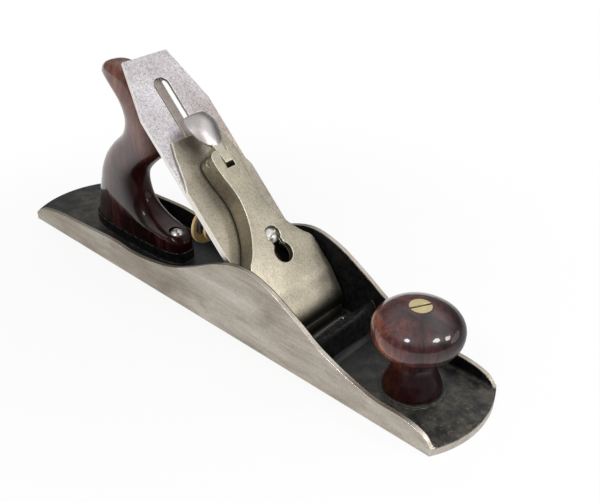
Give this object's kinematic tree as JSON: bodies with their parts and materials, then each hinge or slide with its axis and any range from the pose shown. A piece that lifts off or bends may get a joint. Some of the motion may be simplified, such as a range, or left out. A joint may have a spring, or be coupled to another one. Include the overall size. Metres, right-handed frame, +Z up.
{
  "type": "jack plane",
  "caption": "Metal bench plane with a long flat sole, adjustable blade, clamping lever cap, rosewood knob and handle.",
  "frame": {"origin": "middle of the sole's flat underside", "axes": "+X towards the toe, +Y to the left side seen from behind, +Z up"},
  "size_m": [0.3556, 0.062, 0.1368],
  "materials": {
    "body_iron": "ground sides and edges, black lacquered inside, worn",
    "frog_iron": "black lacquered casting with a machined bed",
    "rosewood": "polished dark reddish brown with darker streaks",
    "rod_steel": "dull turned steel",
    "nut_brass": "bright, slotted",
    "wheel_brass": "dull, turned",
    "screw_steel": "turned and slotted, slightly worn",
    "blade_steel": "ground, finely pitted grey",
    "cap_iron_steel": "satin, warm grey, finely pitted",
    "lever_cap_metal": "polished casting, warm grey with small dark pits",
    "cam_metal": "smooth satin",
    "yoke_iron": "black lacquered",
    "lever_steel": "brownish grey",
    "spring_steel": "blued"
  },
  "bodies": {
    "base": {"sole_casting": "body_iron", "front_knob": "rosewood", "knob_rod": "rod_steel", "knob_nut": "nut_brass", "tote": "rosewood", "tote_rod": "rod_steel", "tote_nut": "nut_brass", "tote_toe_screw": "screw_steel", "frog_screws": "screw_steel", "frog_washers": "screw_steel"},
    "frog": {"frog": "frog_iron", "adjusting_stud": "rod_steel", "yoke_pin": "rod_steel", "lever_cap_screw": "screw_steel", "lateral_pivot_rivet": "rod_steel"},
    "cutter": {"cutter": "blade_steel", "cap_iron": "cap_iron_steel", "cap_iron_screw": "screw_steel"},
    "yoke": {"yoke": "yoke_iron"},
    "depth_wheel": {"depth_wheel": "wheel_brass"},
    "lateral_lever": {"lateral_lever": "lever_steel", "lateral_disc": "lever_steel"},
    "lever_cap": {"lever_cap": "lever_cap_metal", "cap_spring": "spring_steel", "spring_rivet": "spring_steel", "cam_pin": "rod_steel"},
    "cam_lever": {"cam_lever": "cam_metal"}
  },
  "joints": [
    {"name": "frog_slide", "type": "slide", "parent": "base", "child": "frog", "axis": [1, 0, 0], "range_m": [0, 0.0012]},
    {"name": "blade_feed", "type": "slide", "parent": "frog", "child": "cutter", "axis": [0.7071, 0, -0.7071], "range_m": [-0.0015, 0.001]},
    {"name": "yoke_tilt", "type": "hinge", "parent": "frog", "child": "yoke", "pos_m": [0.00204, 0, 0.05699], "axis": [0, 1, 0], "range_deg": [-12, 8]},
    {"name": "depth_wheel_travel", "type": "slide", "parent": "frog", "child": "depth_wheel", "axis": [-1, 0, 0], "range_m": [-0.0029, 0.002]},
    {"name": "lateral_swing", "type": "hinge", "parent": "frog", "child": "lateral_lever", "pos_m": [-0.01416, 0, 0.08026], "axis": [0.7071, 0, 0.7071], "range_deg": [-7.5, 7.5]},
    {"name": "lever_cap_slide", "type": "slide", "parent": "frog", "child": "lever_cap", "axis": [-0.7071, 0, 0.7071], "range_m": [0, 0.012]},
    {"name": "cam_lever_lift", "type": "hinge", "parent": "lever_cap", "child": "cam_lever", "pos_m": [-0.00624, 0, 0.09101], "axis": [0, 1, 0], "range_deg": [0, 90]}
  ],
  "couplings": [
    {"joint": "yoke_tilt", "follows": "blade_feed", "rad_per_m": 123.15},
    {"joint": "depth_wheel_travel", "follows": "blade_feed", "ratio": 1.8461}
  ]
}
